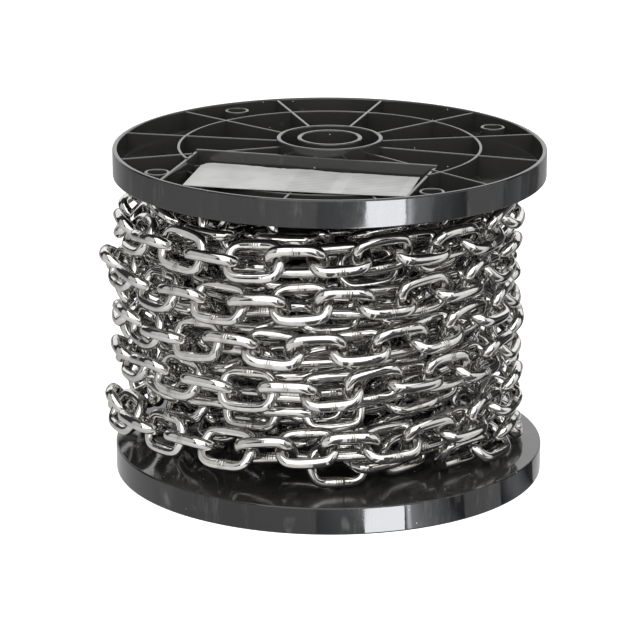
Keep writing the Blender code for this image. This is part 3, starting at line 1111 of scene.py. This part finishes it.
@dataclass(frozen=True)
class Studio:
    """Pale floor, soft panels and the camera at the photograph's viewing angle."""

    floor_size: float = 12.0
    floor_glow: float = 0.80
    floor_shine: tuple[float, float] = (0.80, 0.25)
    floor_fade: tuple[float, float] = (-0.5, 0.5)
    floor_white: Colour = rgba(0.9, 0.9, 0.9)
    floor_grey: Colour = rgba(0.22, 0.22, 0.22)
    room: Colour = rgba(0.05, 0.05, 0.05)
    panels: tuple[Panel, ...] = (
        Panel("overhead_panel", 8, 72, 1.6, (2.2, 1.2), 2.2),
        Panel("front_panel", -3, 27, 2.6, (3.2, 2.4), 2.4),
        Panel("left_panel", -76, 24, 2.2, (2.3, 1.9), 0.7),
        Panel("right_panel", 74, 24, 2.2, (2.3, 1.9), 1.15),
        Panel("back_panel", 180, 20, 2.4, (4.2, 1.3), 1.2),
    )
    gleams: tuple[tuple[float, float, float, float], ...] = (
        (-3.2, 5.8, 0.2, 0.8), (9.3, 19.9, 18.0, 18.0), (20.2, 21.2, 1.0, 9.0), (21.2, 22.2, 9.0, 3.4),
        (22.2, 27.0, 3.4, 1.6), (27.0, 38.0, 1.6, 0.0), (52.0, 60.0, 0.0, 0.6), (60.0, 72.0, 0.6, 0.0),
    )
    gleam_start: float = FLANGE_RADIUS
    gleam_reach: float = 1.6
    image_width: int = 640
    sensor: float = 36.0
    focal_px: float = 3304.7
    distance: float = 2.0597
    elevation: float = math.radians(16.71)
    roll: float = math.radians(0.2)
    aim_height: float = 94.8 * MM
    aim_side: float = -5.6 * MM

    def floor(self) -> None:
        """Add the pale floor, which shows white and lights the reel only a little from below."""
        bm = bmesh.new()
        bmesh.ops.create_grid(bm, x_segments=1, y_segments=1, size=self.floor_size / 2)
        mesh = to_mesh("studio_floor", bm)
        material, tree, shader = start_material("pale_floor")
        seen = tree.add("LightPath").outputs["Is Camera Ray"]
        tree.feed(shader.inputs["Base Color"], tree.blend(seen, self.floor_grey, self.floor_white))
        shader.inputs["Emission Color"].default_value = rgba(1.0, 1.0, 1.0)
        parts = tree.add("SeparateXYZ", {0: tree.add("TexCoord").outputs["Object"]}).outputs
        shine = tree.between(tree.ramp(parts["Y"], *self.floor_fade), *self.floor_shine)
        glow = tree.add("Mix", {0: seen, 2: shine, 3: self.floor_glow}, data_type="FLOAT").outputs[0]
        tree.feed(shader.inputs["Emission Strength"], glow)
        shader.inputs["Roughness"].default_value = 0.6
        mesh.materials.append(material)
        to_object("studio_floor", mesh)

    def shine(self, shining: bpy.types.Collection) -> None:
        """Add patches of lit floor that show only in the gloss of the shining pieces."""
        bm = bmesh.new()
        layer = bm.verts.layers.float.new(GLOW)
        for start, end, first, last in self.gleams:
            verts = []
            for degrees, glow in ((start, first), (end, last)):
                angle = math.radians(degrees)
                foot = Vector((math.sin(angle), -math.cos(angle), 0.0)) * self.gleam_start
                away = Vector((math.sin(2 * angle), -math.cos(2 * angle), 0.0)) * self.gleam_reach
                for place in (foot, foot + away):
                    vert = bm.verts.new(place + Vector((0, 0, MM)))
                    vert[layer] = glow
                    verts.append(vert)
            bmesh.ops.contextual_create(bm, geom=verts)
        bmesh.ops.recalc_face_normals(bm, faces=bm.faces)
        mesh = to_mesh("lit_floor_patches", bm)
        material, tree, shader = start_material("lit_floor")
        shader.inputs["Base Color"].default_value = rgba(0.0, 0.0, 0.0)
        shader.inputs["Emission Color"].default_value = rgba(0.95, 0.97, 1.0)
        glow = tree.add("Attribute", attribute_name=GLOW).outputs["Fac"]
        tree.feed(shader.inputs["Emission Strength"], glow)
        mesh.materials.append(material)
        obj = to_object("lit_floor_patches", mesh)
        obj.visible_camera = obj.visible_diffuse = obj.visible_shadow = False
        obj.light_linking.receiver_collection = shining

    def lights(self, rims: Iterable[bpy.types.Object]) -> None:
        """Add the panels, the dim room that they stand in and the shine on the rims."""
        shining = bpy.data.collections.new("shining_rims")
        for rim in rims:
            shining.objects.link(rim)
        middle = Vector((0.0, 0.0, 0.1))
        for panel in self.panels:
            panel.build(middle)
        self.shine(shining)
        world = bpy.data.worlds.new("dim_room")
        world.use_nodes = True
        background = world.node_tree.nodes["Background"]
        background.inputs["Color"].default_value = self.room
        bpy.context.scene.world = world

    def camera(self) -> None:
        """Add the camera and make it the scene's."""
        data = bpy.data.cameras.new("photo_camera")
        data.sensor_width = self.sensor
        data.lens = self.focal_px * self.sensor / self.image_width
        data.clip_start, data.clip_end = 0.05, 50.0
        obj = to_object("photo_camera", data)
        tilt = Matrix.Rotation(math.pi / 2 - self.elevation, 4, "X")
        tilt = tilt @ Matrix.Rotation(self.roll, 4, "Z")
        away = Vector((0.0, -math.cos(self.elevation), math.sin(self.elevation))) * self.distance
        aim = Vector((self.aim_side, 0.0, self.aim_height))
        obj.matrix_world = Matrix.Translation(aim + away) @ tilt
        bpy.context.scene.camera = obj

    def build(self, rims: Iterable[bpy.types.Object]) -> None:
        """Set the stage, with a shine on the rims."""
        self.floor()
        self.lights(rims)
        self.camera()
        bpy.context.scene.view_settings.view_transform = "Standard"


def main() -> None:
    """Build the looks round the frame."""
    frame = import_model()
    materials = Materials.make()
    for material_slot in frame["nodes"]["drum"].material_slots:
        material_slot.material = materials.plastic
    under = Matrix.Translation((0, 0, RIM_HEIGHT)) @ Matrix.Rotation(math.pi, 4, "X")
    over = Matrix.Translation((0, 0, REEL_HEIGHT - RIM_HEIGHT))
    hub_sunk, hub_proud, crown = 0.5 * MM, 5.4 * MM, 2.3 * MM
    bottom = Flange("bottom_flange", under, RIM_HEIGHT - hub_sunk, crown=0.0, has_pocket=False)
    top = Flange("top_flange", over, RIM_HEIGHT + hub_proud, crown=crown, has_pocket=True)
    rims = [flange.build(materials) for flange in (bottom, top)]
    LabelCard().build(materials)
    Chain().build(materials)
    Studio().build(rims)


if __name__ == "__main__":
    logging.basicConfig(level=logging.INFO, format="%(name)s: %(message)s")
    main()
